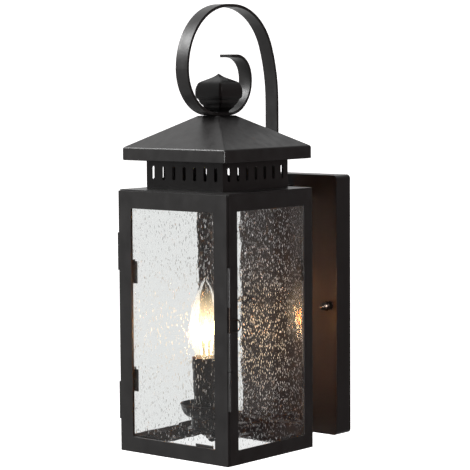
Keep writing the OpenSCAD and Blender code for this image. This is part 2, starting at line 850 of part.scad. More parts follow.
module lampholder() {
    color("#22201f") translate([0, lamp_y, holder_z]) difference() {
        cylinder(r = holder_r, h = holder_h);
        translate([0, 0, -1]) cylinder(r = nipple_r, h = 10);
        translate([0, 0, 8]) cylinder(r = bore_r, h = holder_floor - 7.5);
        translate([0, 0, holder_floor]) cylinder(r = shell_r, h = holder_h);
    }
}

module lampholder_shell() {
    color("goldenrod") translate([0, lamp_y, shell_z]) difference() {
        cylinder(r = shell_r, h = 22);
        translate([0, 0, 1]) cylinder(r = cap_r + cap_clear, h = 22);
        translate([0, 0, -1]) cylinder(r = 4, h = 4);
    }
}

contact_h = 3;
insulator_h = 1.6;

module lampholder_contact() {
    color("goldenrod") translate([0, lamp_y, shell_z - 2]) {
        cylinder(r = bore_r, h = 1);
        cylinder(r = 2, h = cap_z - contact_h - shell_z + 2);
    }
}

module bulb_contact() {
    color("silver") translate([0, lamp_y, cap_z - contact_h])
        cylinder(r = 1.9, h = contact_h - insulator_h);
}

module bulb_insulator() {
    color("#20242c") translate([0, lamp_y, cap_z - insulator_h]) rotate_extrude()
        polygon([[0, 0], [2.4, 0], [cap_r - 0.6, insulator_h], [0, insulator_h]]);
}

module bulb_cap() {
    color("silver") translate([0, lamp_y, cap_z]) difference() {
        cylinder(r = cap_r, h = cap_h);
        translate([0, 0, 1]) cylinder(r = cap_r - 0.5, h = cap_h);
    }
}

// A candle shape: a rising shoulder, then a long taper to the tip.
bulb_neck_r = 5.3;
bulb_wall = 0.8;
bulb_belly = 0.42;
function bulb_profile(t) = t < bulb_belly
    ? bulb_neck_r + (bulb_r - bulb_neck_r) * pow(sin(90 * t / bulb_belly), 1.4)
    : bulb_r * (1 - pow((t - bulb_belly) / (1 - bulb_belly), 1.75));
function bulb_line(inset) = [for (i = [0:24]) let (t = i / 24)
    [max(0, bulb_profile(t) - inset), (bulb_h - inset) * t]];

module bulb_glass() {
    color("lightyellow", 0.4) translate([0, lamp_y, bulb_z]) rotate_extrude()
        polygon(concat(bulb_line(0), reversed(bulb_line(bulb_wall))));
}

module bulb_stem() {
    color("lightcyan", 0.6) translate([0, lamp_y, cap_z + 1]) rotate_extrude() polygon([
        [0, 0], [4, 0], [3.6, cap_h - 1], [1.5, cap_h + 8], [1.2, cap_h + 16], [0, cap_h + 17]]);
}

// Four upright filaments round the stem, joined by a ring at the top.
module bulb_filaments() {
    low = bulb_z + 14;
    color("orange") for (a = [0:90:270]) translate([0, lamp_y, low]) rotate([0, 0, a + 45])
        translate([4.5, 0, 0]) rotate([0, 6, 0]) cylinder(r = 0.8, h = 34, $fn = 16);
}

// ---- Leads ----

lead_r = 0.9;

// From the lampholder down the nipple, back along the supply tube and up the
// backplate's hollow to its connector. s puts a lead to one side of the middle.
function lead_route(s) = [
    [s * 1.3, lamp_y, shell_z - 5.5], [s * 1.3, lamp_y, nipple_low_z - 1],
    [s * 1.3, lamp_y + 0.6, nipple_low_z - 3], [s * 1.3, lamp_y + 2.6, supply_z - 1.4],
    [s * 1.3, lamp_y + 6, supply_z - 1.6], [s * 1.3, cage_back_y, supply_z - 1.6],
    [s * 1.6, tube_rear_y - 2, supply_z - 1.6], [s * 2.4, tube_rear_y + 1.2, supply_z + 1],
    [s * 5, tube_rear_y + 1.8, supply_z + 6], [s * 9, tube_rear_y + 1, supply_z + 14],
    [s * 14, -11, supply_z + 28], [s * 18, -10.5, supply_z + 42], [s * 18, -10, supply_z + 52]];

module live_lead() {
    color("#1c1c1c") wire(lead_route(-1), lead_r);
}

module neutral_lead() {
    color("whitesmoke") wire(lead_route(1), lead_r);
}

module ground_lead() {
    color("seagreen") wire([[20, -bar_t - 3, -6], [22, -bar_t - 3.2, -12], [25, -6.5, -18],
        [28, -7.5, -28], [28, -9, -40], [28, -9.5, -50]], lead_r);
}

// Twist-on connectors, one on each lead's end in the backplate.
module wire_connectors() {
    color("darkorange") for (p = [[-18, -10, supply_z + 50], [18, -10, supply_z + 50]])
        translate(p) difference() {
            union() {
                cylinder(r1 = 5.5, r2 = 3.6, h = 18);
                for (s = [-1, 1]) translate([s * 4.6 - 1.2, -0.8, 0]) cube([2.4, 1.6, 8]);
            }
            translate([0, 0, -1]) cylinder(r = 1.2, h = 9);
        }
}

// ---- Door ----

module door_frame() {
    w = 2 * door_half;
    color(black) difference() {
        translate([0, door_out_y, cage_z])
            frame_xz(w, cage_h, door_t, door_stile, door_bottom_rail, door_top_rail);
        for (z = hinge_zs) translate([hinge_x, hinge_y, z - hinge_l / 2 - knuckle_gap]) {
            cylinder(r = notch_r, h = hinge_l + 2 * knuckle_gap);
            translate([0, -door_gap / 2 - leaf_t, 0])
                cube([knuckle_r + 0.6 + leaf_w, leaf_t + 1, hinge_l + 2 * knuckle_gap]);
        }
    }
}

module door_glass() {
    color("lightcyan", 0.4) translate([-door_pane_w / 2, door_in_y, door_pane_z])
        cube([door_pane_w, glass_t, door_pane_h]);
}

module door_clips() {
    color(black) translate([0, door_in_y, 0]) {
        for (m = [0, 1]) mirror([m, 0, 0]) translate([-door_pane_w / 2, 0, 0])
            edge_clips(glass_lap + clip_show);
        translate([0, 0, door_pane_z]) foot_clip(door_pane_w / 2 - clip_l);
    }
}

// One leaf with its knuckles. side is +1 for the frame's leaf, which has the
// outer knuckles, and -1 for the door's leaf, which has the middle one.
module hinge_leaf(side) {
    third = hinge_l / 3;
    spans = side > 0 ? [[0, third], [2 * third, third]] : [[third, third]];
    leaf_y = side > 0 ? door_gap / 2 : -door_gap / 2 - leaf_t;
    trim = side > 0 ? 0 : knuckle_gap;
    difference() {
        union() {
            translate([knuckle_r + 0.6, leaf_y, 0]) cube([leaf_w, leaf_t, hinge_l]);
            for (s = spans) translate([0, 0, s[0] + trim]) {
                cylinder(r = knuckle_r, h = s[1] - 2 * trim);
                translate([0, leaf_y, 0]) cube([knuckle_r + 1, leaf_t, s[1] - 2 * trim]);
            }
        }
        translate([0, 0, -1])
            cylinder(r = hinge_pin_r + (side > 0 ? 0 : running_clear), h = hinge_l + 2);
    }
}

module hinge_frame_leaves() {
    color(black) for (z = hinge_zs)
        translate([hinge_x, hinge_y, z - hinge_l / 2]) hinge_leaf(1);
}

module hinge_door_leaves() {
    color(black) for (z = hinge_zs)
        translate([hinge_x, hinge_y, z - hinge_l / 2]) hinge_leaf(-1);
}

module hinge_pins() {
    color("dimgray") for (z = hinge_zs)
        translate([hinge_x, hinge_y, z - hinge_l / 2]) cylinder(r = hinge_pin_r, h = hinge_l);
}

// ---- Latch ----

guide_low_z = latch_z - guide_l;
guide_high_z = latch_z + handle_gap;
keeper_z = guide_low_z - 0.6 - guide_l;

// A tube round the bolt with a flat foot towards x = 0 of the given half depth.
module bolt_tube(z, foot_x, foot_y) {
    difference() {
        union() {
            translate([latch_x, latch_y, z]) cylinder(r = guide_r, h = guide_l);
            translate([foot_x, latch_y - 1, z]) cube([latch_x - foot_x, foot_y, guide_l]);
        }
        translate([latch_x, latch_y, z - 1])
            cylinder(r = bolt_wire_r + running_clear, h = guide_l + 2);
    }
}

module bolt_guides() {
    color(black) for (z = [guide_low_z, guide_high_z])
        bolt_tube(z, door_half, min(2, door_t - 0.3));
}

module bolt_keeper() {
    color(black) bolt_tube(keeper_z, half_w, 9);
}

// The bolt's straight wire and its handle, a D-shaped loop along the side.
module latch_bolt() {
    r = bolt_wire_r;
    bow_r = handle_h / 2 - r;
    leg = handle_l - bow_r - r;
    low = guide_low_z + 0.5;
    color("#3b3836") translate([latch_x, latch_y, 0]) {
        translate([0, 0, low]) cylinder(r = r, h = guide_high_z + guide_l - 4 - low);
        for (z = [latch_z + r, latch_z + handle_h - r]) translate([0, 0, z])
            rotate([-90, 0, 0]) cylinder(r = r, h = leg);
        translate([0, leg, latch_z + handle_h / 2]) rotate([0, 90, 0])
            rotate_extrude(angle = 180) translate([bow_r, 0]) circle(r = r, $fn = 24);
    }
}

backplate();
mounting_bar();
mounting_studs();
cap_nuts();
ground_screw();
upper_arm();
arm_screws();
supply_tube();
tube_nuts();
scroll_strap();
roof();
roof_base();
gallery_front();
gallery_back();
gallery_left();
gallery_right();
gallery_rims();
gallery_screws();
top_plate();
cage_left();
cage_right();
cage_back();
bottom_ledge();
glass_left();
glass_right();
glass_back();
glass_clips();
lamp_bracket();
lamp_disc();
lamp_cup();
drip_pan();
nipple();
nipple_nuts();
candle_sleeve();
lampholder();
lampholder_shell();
lampholder_contact();
bulb_glass();
bulb_cap();
bulb_insulator();
bulb_contact();
bulb_stem();
bulb_filaments();
finial();
finial_rod();
finial_nut();
live_lead();
neutral_lead();
ground_lead();
wire_connectors();
hinge_frame_leaves();
hinge_pins();
bolt_keeper();
door_frame();
door_glass();
door_clips();
hinge_door_leaves();
bolt_guides();
latch_bolt();
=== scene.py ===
"""Looks for an outdoor wall lantern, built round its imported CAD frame.

Sizes are in metres. The lantern hangs on a wall at y = 0, its door faces -Y and +Z is up.
"""

import json
import math

import bmesh
import bpy
from mathutils import Matrix, Vector


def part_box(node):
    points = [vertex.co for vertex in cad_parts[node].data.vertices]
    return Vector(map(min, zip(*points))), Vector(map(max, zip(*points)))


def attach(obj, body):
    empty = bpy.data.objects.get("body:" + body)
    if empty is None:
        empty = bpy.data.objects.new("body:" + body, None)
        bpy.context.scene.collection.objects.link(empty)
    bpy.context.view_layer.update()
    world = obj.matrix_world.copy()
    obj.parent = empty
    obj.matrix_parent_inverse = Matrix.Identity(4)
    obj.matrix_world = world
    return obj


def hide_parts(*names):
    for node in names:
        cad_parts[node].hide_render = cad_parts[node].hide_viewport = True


bl_info = {
    "name": "Wall Lantern",
    "version": (1, 0, 0),
    "blender": (4, 5, 0),
    "location": "View3D > Sidebar > Lantern",
    "description": "Builds the visible pieces of an outdoor wall lantern and its studio",
    "category": "Object",
}

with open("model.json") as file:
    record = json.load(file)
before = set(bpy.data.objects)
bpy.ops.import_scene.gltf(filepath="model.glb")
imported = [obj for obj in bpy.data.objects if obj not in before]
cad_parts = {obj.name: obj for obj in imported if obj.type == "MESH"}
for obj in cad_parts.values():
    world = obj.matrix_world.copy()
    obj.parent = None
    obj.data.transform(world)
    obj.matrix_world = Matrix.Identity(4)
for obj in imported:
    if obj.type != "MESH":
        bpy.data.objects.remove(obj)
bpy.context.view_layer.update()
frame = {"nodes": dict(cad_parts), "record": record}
MM = 0.001
NODE_BODY = {
    node: body
    for body, nodes in frame["record"]["behaviour"]["bodies"].items()
    for node in nodes
}

# Sheet steel whose edges are softened, by how much of the sheet's edge rounding each takes.
SHEET_STEEL = {
    "cage_left": 1.0,
    "cage_right": 1.0,
    "cage_back": 1.0,
    "bottom_ledge": 1.0,
    "top_plate": 0.9,
    "gallery_front": 0.6,
    "gallery_back": 0.6,
    "gallery_left": 0.6,
    "gallery_right": 0.6,
    "gallery_rims": 0.6,
    "roof_base": 0.7,
    "glass_clips": 0.6,
    "lamp_bracket": 1.0,
    "lamp_disc": 0.8,
    "door_frame": 1.5,
    "door_clips": 0.6,
}
IRONWORK = {
    "scroll_strap": 1.2,
    "upper_arm": 1.5,
    "hinge_frame_leaves": 0.3,
    "hinge_door_leaves": 0.3,
    "bolt_guides": 0.5,
    "bolt_keeper": 0.5,
}
HARDWARE = {
    "mounting_bar": 0.6,
    "tube_nuts": 0.8,
    "gallery_screws": 0.4,
    "arm_screws": 0.4,
    "ground_screw": 0.4,
    "finial_nut": 0.8,
    "nipple_nuts": 0.8,
}


# How far up its glass the bulb is brightest, and the strength of its own glow there.
BULB_MIDDLE = 0.46
BULB_GLOW = 0.55
FILAMENT_GLOW = (560.0, 640.0)
# The seeds' own light: its strength in the front and side panes, how far from the bulb it
# reaches, how fast it fades, and what is left of it far away.
FRONT_GLINT, SIDE_GLINT = 0.4, 3.2
GLINT_REACH = 66 * MM
GLINT_FADE = 4.5
FAR_GLINT = 0.03
# The light that the bulb gives: its power, its radius and its height above the glass's foot.
LAMP_POWER = 0.42
LAMP_R = 9 * MM
LAMP_UP = 36 * MM
# The sleeve's radius at its foot, as a share of that at its top.
SLEEVE_TAPER = 11.5 / 14.2


class LanternSizes(bpy.types.PropertyGroup):
    """Sizes that only the looks need; everything else comes from the frame."""

    sheet_edge: bpy.props.FloatProperty(
        name="Sheet edge", description="Rounding along the edges of the sheet steel",
        default=0.4 * MM, min=0.05 * MM, max=0.6 * MM, unit="LENGTH", precision=5,
    )
    roof_edge: bpy.props.FloatProperty(
        name="Roof edge", description="Rounding along the roof's hips and eaves",
        default=1.5 * MM, min=0.3 * MM, max=3 * MM, unit="LENGTH", precision=5,
    )
    plate_edge: bpy.props.FloatProperty(
        name="Backplate edge", description="Rounding round the backplate's face",
        default=1.2 * MM, min=0.3 * MM, max=3 * MM, unit="LENGTH", precision=5,
    )
    finial_corner: bpy.props.FloatProperty(
        name="Finial corner", description="Rounding of the finial's upright corners",
        default=2.6 * MM, min=0.5 * MM, max=6 * MM, unit="LENGTH", precision=5,
    )
    ripple_height: bpy.props.FloatProperty(
        name="Ripple height", description="Height of the slow ripples in the window glass",
        default=0.08 * MM, min=0, max=0.4 * MM, unit="LENGTH", precision=6,
    )
    ripple_length: bpy.props.FloatProperty(
        name="Ripple length", description="Distance from one ripple to the next",
        default=13 * MM, min=6 * MM, max=40 * MM, unit="LENGTH", precision=5,
    )
    seed_pitch: bpy.props.FloatProperty(
        name="Seed pitch", description="Mean distance between the seeds in the window glass",
        default=1.35 * MM, min=1 * MM, max=12 * MM, unit="LENGTH", precision=5,
    )


class LanternColours(bpy.types.PropertyGroup):
    """Colours of the finishes."""

    coat: bpy.props.FloatVectorProperty(
        name="Powder coat", description="Colour of the painted steel", subtype="COLOR",
        default=(0.0180, 0.0173, 0.0171), min=0, max=1,
    )
    wire: bpy.props.FloatVectorProperty(
        name="Blackened wire", description="Colour of the latch wire and ring nuts",
        subtype="COLOR", default=(0.05, 0.040, 0.034), min=0, max=1,
    )
    glass: bpy.props.FloatVectorProperty(
        name="Window glass", description="Tint of the window glass", subtype="COLOR",
        default=(0.955, 0.965, 0.96), min=0, max=1,
    )
    lamp_light: bpy.props.FloatVectorProperty(
        name="Lamp light", description="Colour of the bulb's light", subtype="COLOR",
        default=(1.0, 0.32, 0.06), min=0, max=1,
    )
    glow: bpy.props.FloatVectorProperty(
        name="Glow", description="Colour of the lit bulb and of its glints in the glass",
        subtype="COLOR", default=(1.0, 0.78, 0.48), min=0, max=1,
    )
    brass: bpy.props.FloatVectorProperty(
        name="Brass", description="Colour of the lampholder's contacts", subtype="COLOR",
        default=(0.70, 0.50, 0.24), min=0, max=1,
    )
    zinc: bpy.props.FloatVectorProperty(
        name="Zinc", description="Colour of the plated screws and bar", subtype="COLOR",
        default=(0.62, 0.62, 0.60), min=0, max=1,
    )
    floor: bpy.props.FloatVectorProperty(
        name="Floor", description="Colour of the studio floor", subtype="COLOR",
        default=(0.86, 0.86, 0.86), min=0, max=1,
    )


# ---- Mesh helpers ----


def activate(piece):
    """Leaves only this piece selected."""
    bpy.ops.object.select_all(action="DESELECT")
    piece.select_set(True)
    bpy.context.view_layer.objects.active = piece


def size_of(node):
    """A node's centre and its size along each axis."""
    low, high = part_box(node)
    return (low + high) / 2, high - low


def apply_modifier(piece, kind, **settings):
    """Adds a modifier, sets it and applies it."""
    modifier = piece.modifiers.new(kind.lower(), kind)
    for name, value in settings.items():
        setattr(modifier, name, value)
    activate(piece)
    bpy.ops.object.modifier_apply(modifier=modifier.name)


def merged_copy(node, name):
    """A copy of a node's mesh with its loose triangles joined and its flats cleared."""
    mesh = frame["nodes"][node].data.copy()
    mesh.materials.clear()
    piece = bpy.data.objects.new(name, mesh)
    bpy.context.scene.collection.objects.link(piece)
    activate(piece)
    bpy.ops.mesh.customdata_custom_splitnormals_clear()
    bpy.ops.object.mode_set(mode="EDIT")
    bpy.ops.mesh.select_all(action="SELECT")
    bpy.ops.mesh.remove_doubles(threshold=0.002 * MM)
    bpy.ops.mesh.dissolve_limited(angle_limit=math.radians(0.5))
    bpy.ops.object.mode_set(mode="OBJECT")
    return piece


def soften(piece, width, segments=2):
    """Rounds every sharp edge and keeps the flats flat."""
    apply_modifier(
        piece, "BEVEL", width=width, segments=segments, limit_method="ANGLE",
        angle_limit=math.radians(30), use_clamp_overlap=True,
    )


def soften_outside(piece, inside, width, segments):
    """Rounds only the sharp edges of a shell that face away from a point inside it."""
    shell = bmesh.new()
    shell.from_mesh(piece.data)
    weight = shell.edges.layers.float.new("bevel_weight_edge")
    for edge in shell.edges:
        if len(edge.link_faces) != 2 or edge.calc_face_angle() < math.radians(15):
            continue
        outward = [f.normal.dot(f.calc_center_median() - inside) > 0 for f in edge.link_faces]
        edge[weight] = 1.0 if all(outward) else 0.0
    shell.to_mesh(piece.data)
    shell.free()
    apply_modifier(
        piece, "BEVEL", width=width, segments=segments, limit_method="WEIGHT",
        use_clamp_overlap=True,
    )


def turned(name, profile, sides=64):
    """A body of revolution on the Z axis, raised ring by ring from (radius, height) pairs.
    A radius of nought closes a pole, and a profile that ends where it began makes a wall."""
    least = 0.004 * MM
    rings = [(max(radius, least), height) for radius, height in profile]
    bpy.ops.object.select_all(action="DESELECT")
    bpy.ops.mesh.primitive_circle_add(
        vertices=sides, radius=rings[0][0], location=(0, 0, rings[0][1])
    )
    piece = bpy.context.object
    piece.name = name
    raise_rings(piece, rings)
    return piece


def raise_rings(piece, rings):
    """Extrudes an outline up through the rings, each scaled about the Z axis."""
    activate(piece)
    bpy.ops.object.transform_apply(location=True, rotation=True, scale=True)
    bpy.ops.object.mode_set(mode="EDIT")
    bpy.ops.mesh.select_all(action="SELECT")
    for (radius, height), (next_radius, next_height) in zip(rings, rings[1:]):
        bpy.ops.mesh.extrude_region_move(
            TRANSFORM_OT_translate={"value": (0, 0, next_height - height)}
        )
        ratio = next_radius / radius
        bpy.ops.transform.resize(
            value=(ratio, ratio, 1), center_override=(0, 0, next_height)
        )
    bpy.ops.mesh.select_all(action="SELECT")
    bpy.ops.mesh.remove_doubles(threshold=0.01 * MM)
    bpy.ops.mesh.normals_make_consistent(inside=False)
    bpy.ops.object.mode_set(mode="OBJECT")


def curve_points(centre, radius, start, end, steps):
    """Points on an arc as (radius, height) pairs, with angles in degrees."""
    angles = [math.radians(start + (end - start) * i / steps) for i in range(steps + 1)]
    return [(centre[0] + radius * math.cos(a), centre[1] + radius * math.sin(a)) for a in angles]


def place(piece, where, turn=(0, 0, 0)):
    """Moves a piece that was built at the origin and puts its place in its mesh."""
    piece.rotation_euler = turn
    piece.location = where
    activate(piece)
    bpy.ops.object.transform_apply(location=True, rotation=True, scale=True)


def finish_piece(piece, material, nodes, smooth=40):
    """Shades a piece, gives it its finish and stands it in for the nodes it follows."""
    activate(piece)
    bpy.ops.object.shade_smooth_by_angle(angle=math.radians(smooth))
    apply_modifier(piece, "WEIGHTED_NORMAL", keep_sharp=True, weight=60)
    piece.data.materials.clear()
    piece.data.materials.append(material)
    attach(piece, NODE_BODY[nodes[0]])
    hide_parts(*nodes)
    return piece


def softened_nodes(group, material, edge):
    """A softened piece for each node of a group."""
    for node, share in group.items():
        piece = merged_copy(node, f"{node}_piece")
        soften(piece, edge * share)
        finish_piece(piece, material, [node])


# ---- Material helpers ----


class Finish:
    """A node material under construction: one Principled shader and what drives it."""

    def __init__(self, name, **inputs):
        self.material = bpy.data.materials.new(name)
        self.material.use_nodes = True
        self.tree = self.material.node_tree
        self.shader = self.tree.nodes["Principled BSDF"]
        self.coords = self.tree.nodes.new("ShaderNodeTexCoord").outputs["Object"]
        self.set(**inputs)

    def set(self, **inputs):
        for name, value in inputs.items():
            self.shader.inputs[name.replace("_", " ")].default_value = value

    def node(self, kind, values=None, **settings):
        made = self.tree.nodes.new(kind)
        for name, value in settings.items():
            setattr(made, name, value)
        for name, value in (values or {}).items():
            if isinstance(value, bpy.types.NodeSocket):
                self.tree.links.new(value, made.inputs[name])
            else:
                made.inputs[name].default_value = value
        return made

    def stretched(self, scale):
        return self.node(
            "ShaderNodeMapping", {"Vector": self.coords, "Scale": scale}
        ).outputs["Vector"]

    def noise(self, pitch, detail=2.0, vector=None):
        return self.node(
            "ShaderNodeTexNoise",
            {"Vector": vector or self.coords, "Scale": 1 / pitch, "Detail": detail},
        ).outputs["Fac"]

    def span(self, value, low, high, from_low=0.35, from_high=0.65):
        return self.node(
            "ShaderNodeMapRange",
            {"Value": value, "From Min": from_low, "From Max": from_high,
             "To Min": low, "To Max": high},
        ).outputs["Result"]

    def math(self, operation, first, second=0.0):
        return self.node(
            "ShaderNodeMath", {0: first, 1: second}, operation=operation
        ).outputs[0]

    def blend(self, fac, first, second):
        return self.node(
            "ShaderNodeMix", {"Factor": fac, 6: (*first, 1), 7: (*second, 1)},
            data_type="RGBA",
        ).outputs[2]

    def drive(self, name, socket):
        self.tree.links.new(socket, self.shader.inputs[name])

    def bump(self, height, distance, strength=1.0):
        made = self.node(
            "ShaderNodeBump", {"Height": height, "Distance": distance, "Strength": strength}
        )
        self.drive("Normal", made.outputs["Normal"])


def scaled(colour, factor):
    return tuple(min(1.0, c * factor) for c in colour)


def powder_coat(name, colour, roughness=0.38):
    """Satin powder coat: a fine orange peel, slow patches of colour and of gloss."""
    finish = Finish(name, IOR=1.5)
    patches = finish.span(finish.noise(28 * MM, 3), 0, 1)
    finish.drive("Base Color", finish.blend(patches, scaled(colour, 0.85), scaled(colour, 1.18)))
    smears = finish.noise(9 * MM, 4, finish.stretched((1, 1, 0.6)))
    finish.drive("Roughness", finish.span(smears, roughness - 0.05, roughness + 0.06))
    peel = finish.noise(1.1 * MM, 2)
    grit = finish.noise(0.35 * MM, 1)
    finish.bump(finish.math("ADD", peel, finish.math("MULTIPLY", grit, 0.35)), 0.035 * MM)
    return finish.material


def metal(name, colour, roughness, pitch):
    """Plated or turned metal with a light brushed grain."""
    finish = Finish(name, Metallic=1.0)
    cloud = finish.span(finish.noise(6 * MM, 3), 0, 1)
    finish.drive("Base Color", finish.blend(cloud, scaled(colour, 0.82), scaled(colour, 1.08)))
    grain = finish.noise(pitch, 3, finish.stretched((1, 1, 0.15)))
    finish.drive("Roughness", finish.span(grain, roughness - 0.06, roughness + 0.08))
    finish.bump(grain, 0.01 * MM)
    return finish.material


def moulded(name, colour, roughness, pitch=0.8 * MM):
    """Moulded plastic, PVC or card with a faint grain."""
    finish = Finish(name, IOR=1.47)
    cloud = finish.span(finish.noise(7 * MM, 3), 0, 1)
    finish.drive("Base Color", finish.blend(cloud, scaled(colour, 0.88), scaled(colour, 1.1)))
    grain = finish.noise(pitch, 2)
    finish.drive("Roughness", finish.span(grain, roughness - 0.05, roughness + 0.05))
    finish.bump(grain, 0.02 * MM)
    return finish.material


def seeded_glass(name, tint, pitch, lamp_at, glow, glint):
    """Clear glass with upright seeds: small bubbles that catch light from outside. They also
    give off light of their own, warm and strong beside the bulb, lit or not. It stands in for
    the bulb's light caught in the bubbles."""
    finish = Finish(name, IOR=1.46, Roughness=0.0, Base_Color=(*tint, 1))
    mask = None
    for size, reach, bare in ((pitch, 0.36, 0.3), (pitch * 2.8, 0.17, 0.5)):
        cells = finish.node(
            "ShaderNodeTexVoronoi",
            {"Vector": finish.stretched((1, 1, 0.26)), "Scale": 1 / size},
        )
        chance = finish.node(
            "ShaderNodeSeparateColor", {"Color": cells.outputs["Color"]}
        ).outputs["Red"]
        share = finish.span(chance, 0.0, 1.0, bare, 1.0)
        edge = finish.math("MULTIPLY", finish.math("ADD", share, 0.01), reach)
        inside = finish.math("DIVIDE", cells.outputs["Distance"], edge)
        seeds = finish.math("POWER", finish.span(inside, 1.0, 0.0, 0.0, 1.0), 0.6)
        mask = seeds if mask is None else finish.math("MAXIMUM", mask, seeds)
    finish.drive("Transmission Weight", finish.span(mask, 1.0, 0.65, 0.3, 0.9))
    away = finish.node(
        "ShaderNodeVectorMath", {0: finish.coords, 1: tuple(lamp_at)}, operation="DISTANCE"
    ).outputs["Value"]
    near = finish.math("POWER", finish.math("DIVIDE", GLINT_REACH, away), GLINT_FADE)
    glints = finish.math("ADD", finish.math("MULTIPLY", near, glint), FAR_GLINT)
    finish.drive("Emission Strength", finish.math("MULTIPLY", mask, glints))
    warmth = finish.span(near, 0.0, 1.0, 0.05, 0.45)
    finish.drive("Emission Color", finish.blend(warmth, (1.0, 1.0, 1.0), glow))
    waves = finish.noise(5 * MM, 2, finish.stretched((1, 1, 0.55)))
    finish.bump(finish.math("ADD", mask, finish.math("MULTIPLY", waves, 0.2)), 0.2 * MM)
    return finish.material


def bulb_glass(name, light, foot, top):
    """Clear blown glass that gives off light of its own, most beside the filaments and none
    at the tip."""
    finish = Finish(name, Transmission_Weight=1.0, IOR=1.3, Roughness=0.0)
    height = finish.node("ShaderNodeSeparateXYZ", {"Vector": finish.coords}).outputs["Z"]
    middle = foot + (top - foot) * BULB_MIDDLE
    reach = (top - foot) * 0.43
    away = finish.math("ABSOLUTE", finish.math("SUBTRACT", height, middle))
    glow = finish.span(away, 1.0, 0.0, 0.0, reach)
    glow = finish.math("POWER", glow, 1.3)
    finish.set(Emission_Color=(*light, 1))
    finish.drive("Emission Strength", finish.math("MULTIPLY", glow, BULB_GLOW))
    # The glass's own colour is painted warmer where it glows: a painted warm cast of the
    # filaments' light.
    finish.drive("Base Color", finish.blend(glow, (1.0, 0.99, 0.97), (1.0, 0.95, 0.86)))
    return finish.material


def lit_filament(name, light):
    """The lit filament: white hot, its strength rippling a little along it."""
    finish = Finish(name, Roughness=0.5)
    ripple = finish.span(finish.noise(2 * MM, 1), *FILAMENT_GLOW)
    finish.drive("Emission Strength", ripple)
    finish.set(Emission_Color=(*light, 1), Base_Color=(1.0, 0.8, 0.5, 1))
    return finish.material


# ---- Pieces ----


def coat_of(context):
    """The lantern's one powder coat, made once."""
    found = bpy.data.materials.get("satin_black_coat")
    return found or powder_coat("satin_black_coat", tuple(context.scene.lantern_colours.coat))


class LANTERN_OT_sheet_steel(bpy.types.Operator):
    """Cage, door frame, gallery and the other bent sheet, with softened edges"""

    bl_idname = "lantern.sheet_steel"
    bl_label = "Sheet Steel"

    def execute(self, context):
        edge = context.scene.lantern_sizes.sheet_edge
        softened_nodes(SHEET_STEEL, coat_of(context), edge)
        return {"FINISHED"}


class LANTERN_OT_ironwork(bpy.types.Operator):
    """Scrolled strap, arm, hinge leaves and bolt tubes"""

    bl_idname = "lantern.ironwork"
    bl_label = "Ironwork"

    def execute(self, context):
        softened_nodes(IRONWORK, coat_of(context), context.scene.lantern_sizes.sheet_edge)
        return {"FINISHED"}


class LANTERN_OT_roof(bpy.types.Operator):
    """Pyramid roof with soft hips and eaves"""

    bl_idname = "lantern.roof"
    bl_label = "Roof"

    def execute(self, context):
        sizes = context.scene.lantern_sizes
        piece = merged_copy("roof", "roof_piece")
        middle, span = size_of("roof")
        inside = middle - Vector((0, 0, span.z * 0.35))
        soften_outside(piece, inside, sizes.roof_edge, 3)
        soften(piece, sizes.sheet_edge * 0.5)
        finish_piece(piece, coat_of(context), ["roof"])
        return {"FINISHED"}


class LANTERN_OT_backplate(bpy.types.Operator):
    """Backplate shell and the two cap nuts that hold it"""

    bl_idname = "lantern.backplate"
    bl_label = "Backplate"

    def execute(self, context):
        sizes = context.scene.lantern_sizes
        piece = merged_copy("backplate", "backplate_piece")
        middle, span = size_of("backplate")
        soften_outside(piece, middle + Vector((0, span.y / 2, 0)), sizes.plate_edge, 3)
        finish_piece(piece, coat_of(context), ["backplate"])
        self.cap_nuts(context)
        return {"FINISHED"}

    def cap_nuts(self, context):
        """A collar, a ball and a ribbed tip, turned in one piece."""
        low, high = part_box("cap_nuts")
        length = high.y - low.y
        ball_r = (high.z - low.z) / 2
        ball_h = 5.4 * MM
        profile = [(0, 0), (4.4 * MM, 0), (4.6 * MM, 0.3 * MM), (4.6 * MM, 1.1 * MM)]
        profile += curve_points((0, ball_h), ball_r, -52, 56, 14)
        for rib_r, rib in ((3.6, 10.3), (3.3, 11.9), (2.6, 13.3)):
            profile += curve_points(((rib_r - 0.75) * MM, rib * MM), 0.75 * MM, -75, 75, 6)
        profile += [(0, length)]
        wire = metal("blackened_ball", (0.11, 0.085, 0.07), 0.2, 2 * MM)
        nuts = []
        for side in (low.x + ball_r, high.x - ball_r):
            nut = turned("cap_nut", profile, 40)
            place(nut, (side, high.y, 0), (math.radians(90), 0, 0))
            nuts.append(nut)
        activate(nuts[0])
        nuts[1].select_set(True)
        bpy.ops.object.join()
        nuts[0].name = "cap_nuts_piece"
        finish_piece(nuts[0], wire, ["cap_nuts"])


